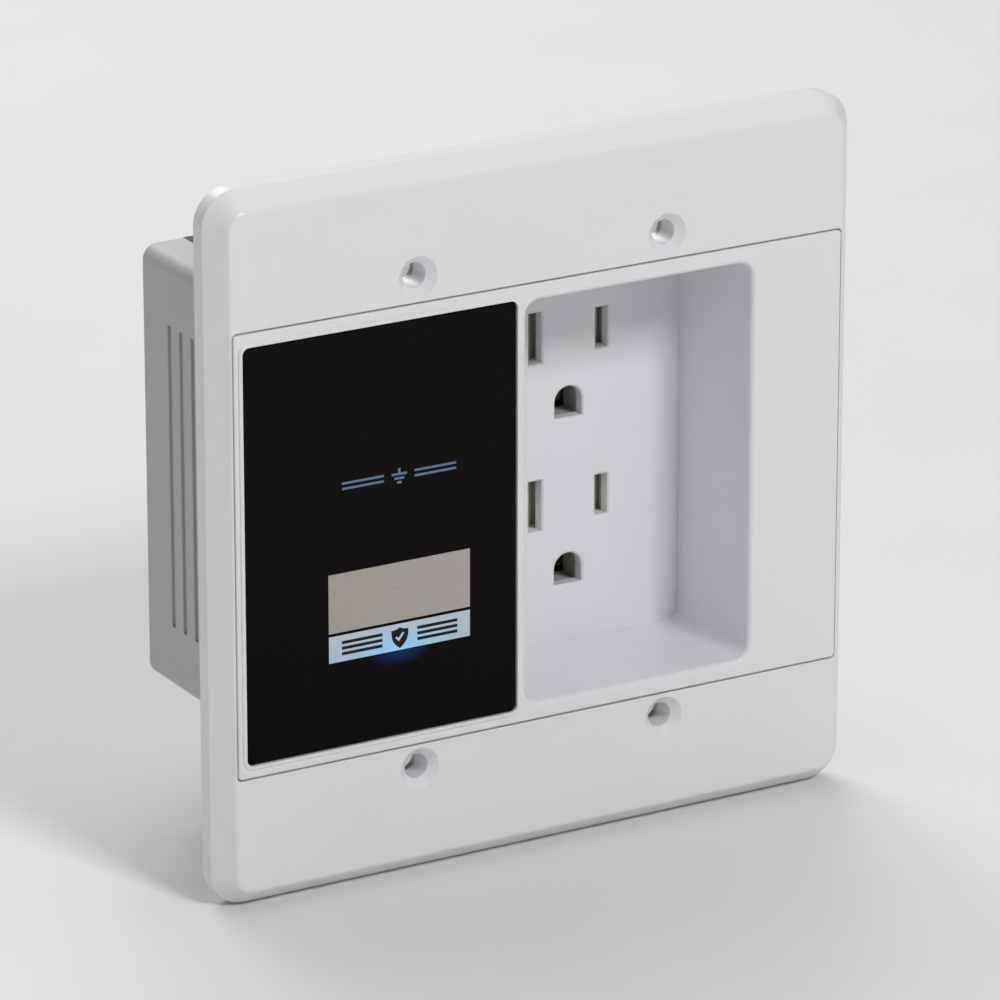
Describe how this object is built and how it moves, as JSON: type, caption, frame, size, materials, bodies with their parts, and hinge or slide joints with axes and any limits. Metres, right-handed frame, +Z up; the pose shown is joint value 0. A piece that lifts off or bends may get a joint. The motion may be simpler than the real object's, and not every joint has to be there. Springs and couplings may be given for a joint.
{
  "type": "in-wall surge protector",
  "caption": "Two-gang in-wall surge protector: white plate with a black indicator window beside a recessed dual outlet, on a deep rear housing with wire-clamp terminals.",
  "frame": {"origin": "centre of the four box-screw holes, on the wall's surface", "axes": "+Y into the wall, so the face looks along -Y; +X to the right and +Z up as seen from the room"},
  "size_m": [0.119, 0.051, 0.12],
  "materials": {
    "white_moulding": "moulded satin gloss",
    "smoked_window": "polished",
    "badge_silver": "fine brushed print",
    "lit_bar": "lit from behind",
    "lit_mark": "lit dimly from behind",
    "black_moulding": "moulded",
    "plated_steel": "zinc plated",
    "spring_steel": "drawn wire",
    "shutter_nylon": "moulded",
    "retainer_nylon": "moulded",
    "base_phenolic": "moulded",
    "contact_brass": "stamped",
    "nickel_plate": "nickel plated",
    "green_screw": "dyed plating",
    "circuit_board": "solder mask",
    "varistor_coat": "dipped epoxy",
    "white_ceramic": "unglazed",
    "tinned_clip": "tinned",
    "capacitor_case": "moulded",
    "ferrite": "epoxy coated ferrite",
    "enamelled_copper": "enamelled",
    "fibre_sheet": "vulcanised fibre",
    "resistor_body": "lacquered",
    "diode_body": "moulded",
    "lamp_epoxy": "clear epoxy",
    "housing_grey": "moulded, fine texture",
    "wire_black": "extruded insulation",
    "wire_white": "extruded insulation",
    "wire_green": "extruded insulation"
  },
  "bodies": {
    "device": {"wall_plate": "white_moulding", "front_bezel": "white_moulding", "receptacle_face": "white_moulding", "indicator_lens": "smoked_window", "badge_plate": "badge_silver", "protected_light_bar": "lit_bar", "ground_light_guide": "lit_mark", "light_baffle": "black_moulding", "terminal_block": "black_moulding", "mounting_yoke": "plated_steel", "receptacle_screws": "plated_steel", "board_screws": "plated_steel", "housing_screws": "plated_steel", "shutter_spring_upper": "spring_steel", "shutter_spring_lower": "spring_steel", "shutter_retainer": "retainer_nylon", "receptacle_base": "base_phenolic", "line_bus_bar": "contact_brass", "neutral_bus_bar": "contact_brass", "ground_bus_bar": "contact_brass", "line_terminal_plate": "contact_brass", "neutral_terminal_plate": "contact_brass", "ground_terminal_plate": "contact_brass", "fuse_caps": "nickel_plate", "surge_board": "circuit_board", "varistor_line_neutral": "varistor_coat", "varistor_line_ground": "varistor_coat", "varistor_neutral_ground": "varistor_coat", "thermal_fuses": "white_ceramic", "line_fuse": "white_ceramic", "fuse_clips": "tinned_clip", "filter_capacitor": "capacitor_case", "choke_core": "ferrite", "choke_winding": "enamelled_copper", "insulating_barrier": "fibre_sheet", "choke_base": "fibre_sheet", "board_resistors": "resistor_body", "board_diodes": "diode_body", "protected_led": "lamp_epoxy", "ground_led": "lamp_epoxy", "rear_housing": "housing_grey", "line_jumper_wire": "wire_black", "neutral_jumper_wire": "wire_white", "ground_jumper_wire": "wire_green"},
    "upper_shutter": {"shutter_upper": "shutter_nylon"},
    "lower_shutter": {"shutter_lower": "shutter_nylon"},
    "line_clamp_screw": {"line_screw": "contact_brass"},
    "line_wire_clamp": {"line_clamp": "contact_brass"},
    "neutral_clamp_screw": {"neutral_screw": "nickel_plate"},
    "neutral_wire_clamp": {"neutral_clamp": "contact_brass"},
    "ground_clamp_screw": {"ground_screw": "green_screw"},
    "ground_wire_clamp": {"ground_clamp": "contact_brass"}
  },
  "joints": [
    {"name": "upper_shutter_slide", "type": "slide", "parent": "device", "child": "upper_shutter", "axis": [-1, 0, 0], "range_m": [0, 0.0031], "stiffness_N_per_m": 150, "springref_m": -0.004, "deforming": ["shutter_spring_upper"]},
    {"name": "lower_shutter_slide", "type": "slide", "parent": "device", "child": "lower_shutter", "axis": [-1, 0, 0], "range_m": [0, 0.0031], "stiffness_N_per_m": 150, "springref_m": -0.004, "deforming": ["shutter_spring_lower"]},
    {"name": "line_screw_turn", "type": "hinge", "parent": "device", "child": "line_clamp_screw", "pos_m": [-0.012, 0.0345, 0.0346], "axis": [0, 0, -1], "range_deg": [0, 1080]},
    {"name": "line_clamp_rise", "type": "slide", "parent": "device", "child": "line_wire_clamp", "axis": [0, 0, 1], "range_m": [0, 0.00238]},
    {"name": "neutral_screw_turn", "type": "hinge", "parent": "device", "child": "neutral_clamp_screw", "pos_m": [-0.0232, 0.0345, 0.0346], "axis": [0, 0, -1], "range_deg": [0, 1080]},
    {"name": "neutral_clamp_rise", "type": "slide", "parent": "device", "child": "neutral_wire_clamp", "axis": [0, 0, 1], "range_m": [0, 0.00238]},
    {"name": "ground_screw_turn", "type": "hinge", "parent": "device", "child": "ground_clamp_screw", "pos_m": [-0.0344, 0.0345, 0.0346], "axis": [0, 0, -1], "range_deg": [0, 1080]},
    {"name": "ground_clamp_rise", "type": "slide", "parent": "device", "child": "ground_wire_clamp", "axis": [0, 0, 1], "range_m": [0, 0.00238]}
  ],
  "couplings": [
    {"joint": "line_screw_turn", "follows": "line_clamp_rise", "rad_per_m": 7913.3},
    {"joint": "neutral_screw_turn", "follows": "neutral_clamp_rise", "rad_per_m": 7913.3},
    {"joint": "ground_screw_turn", "follows": "ground_clamp_rise", "rad_per_m": 7913.3}
  ]
}
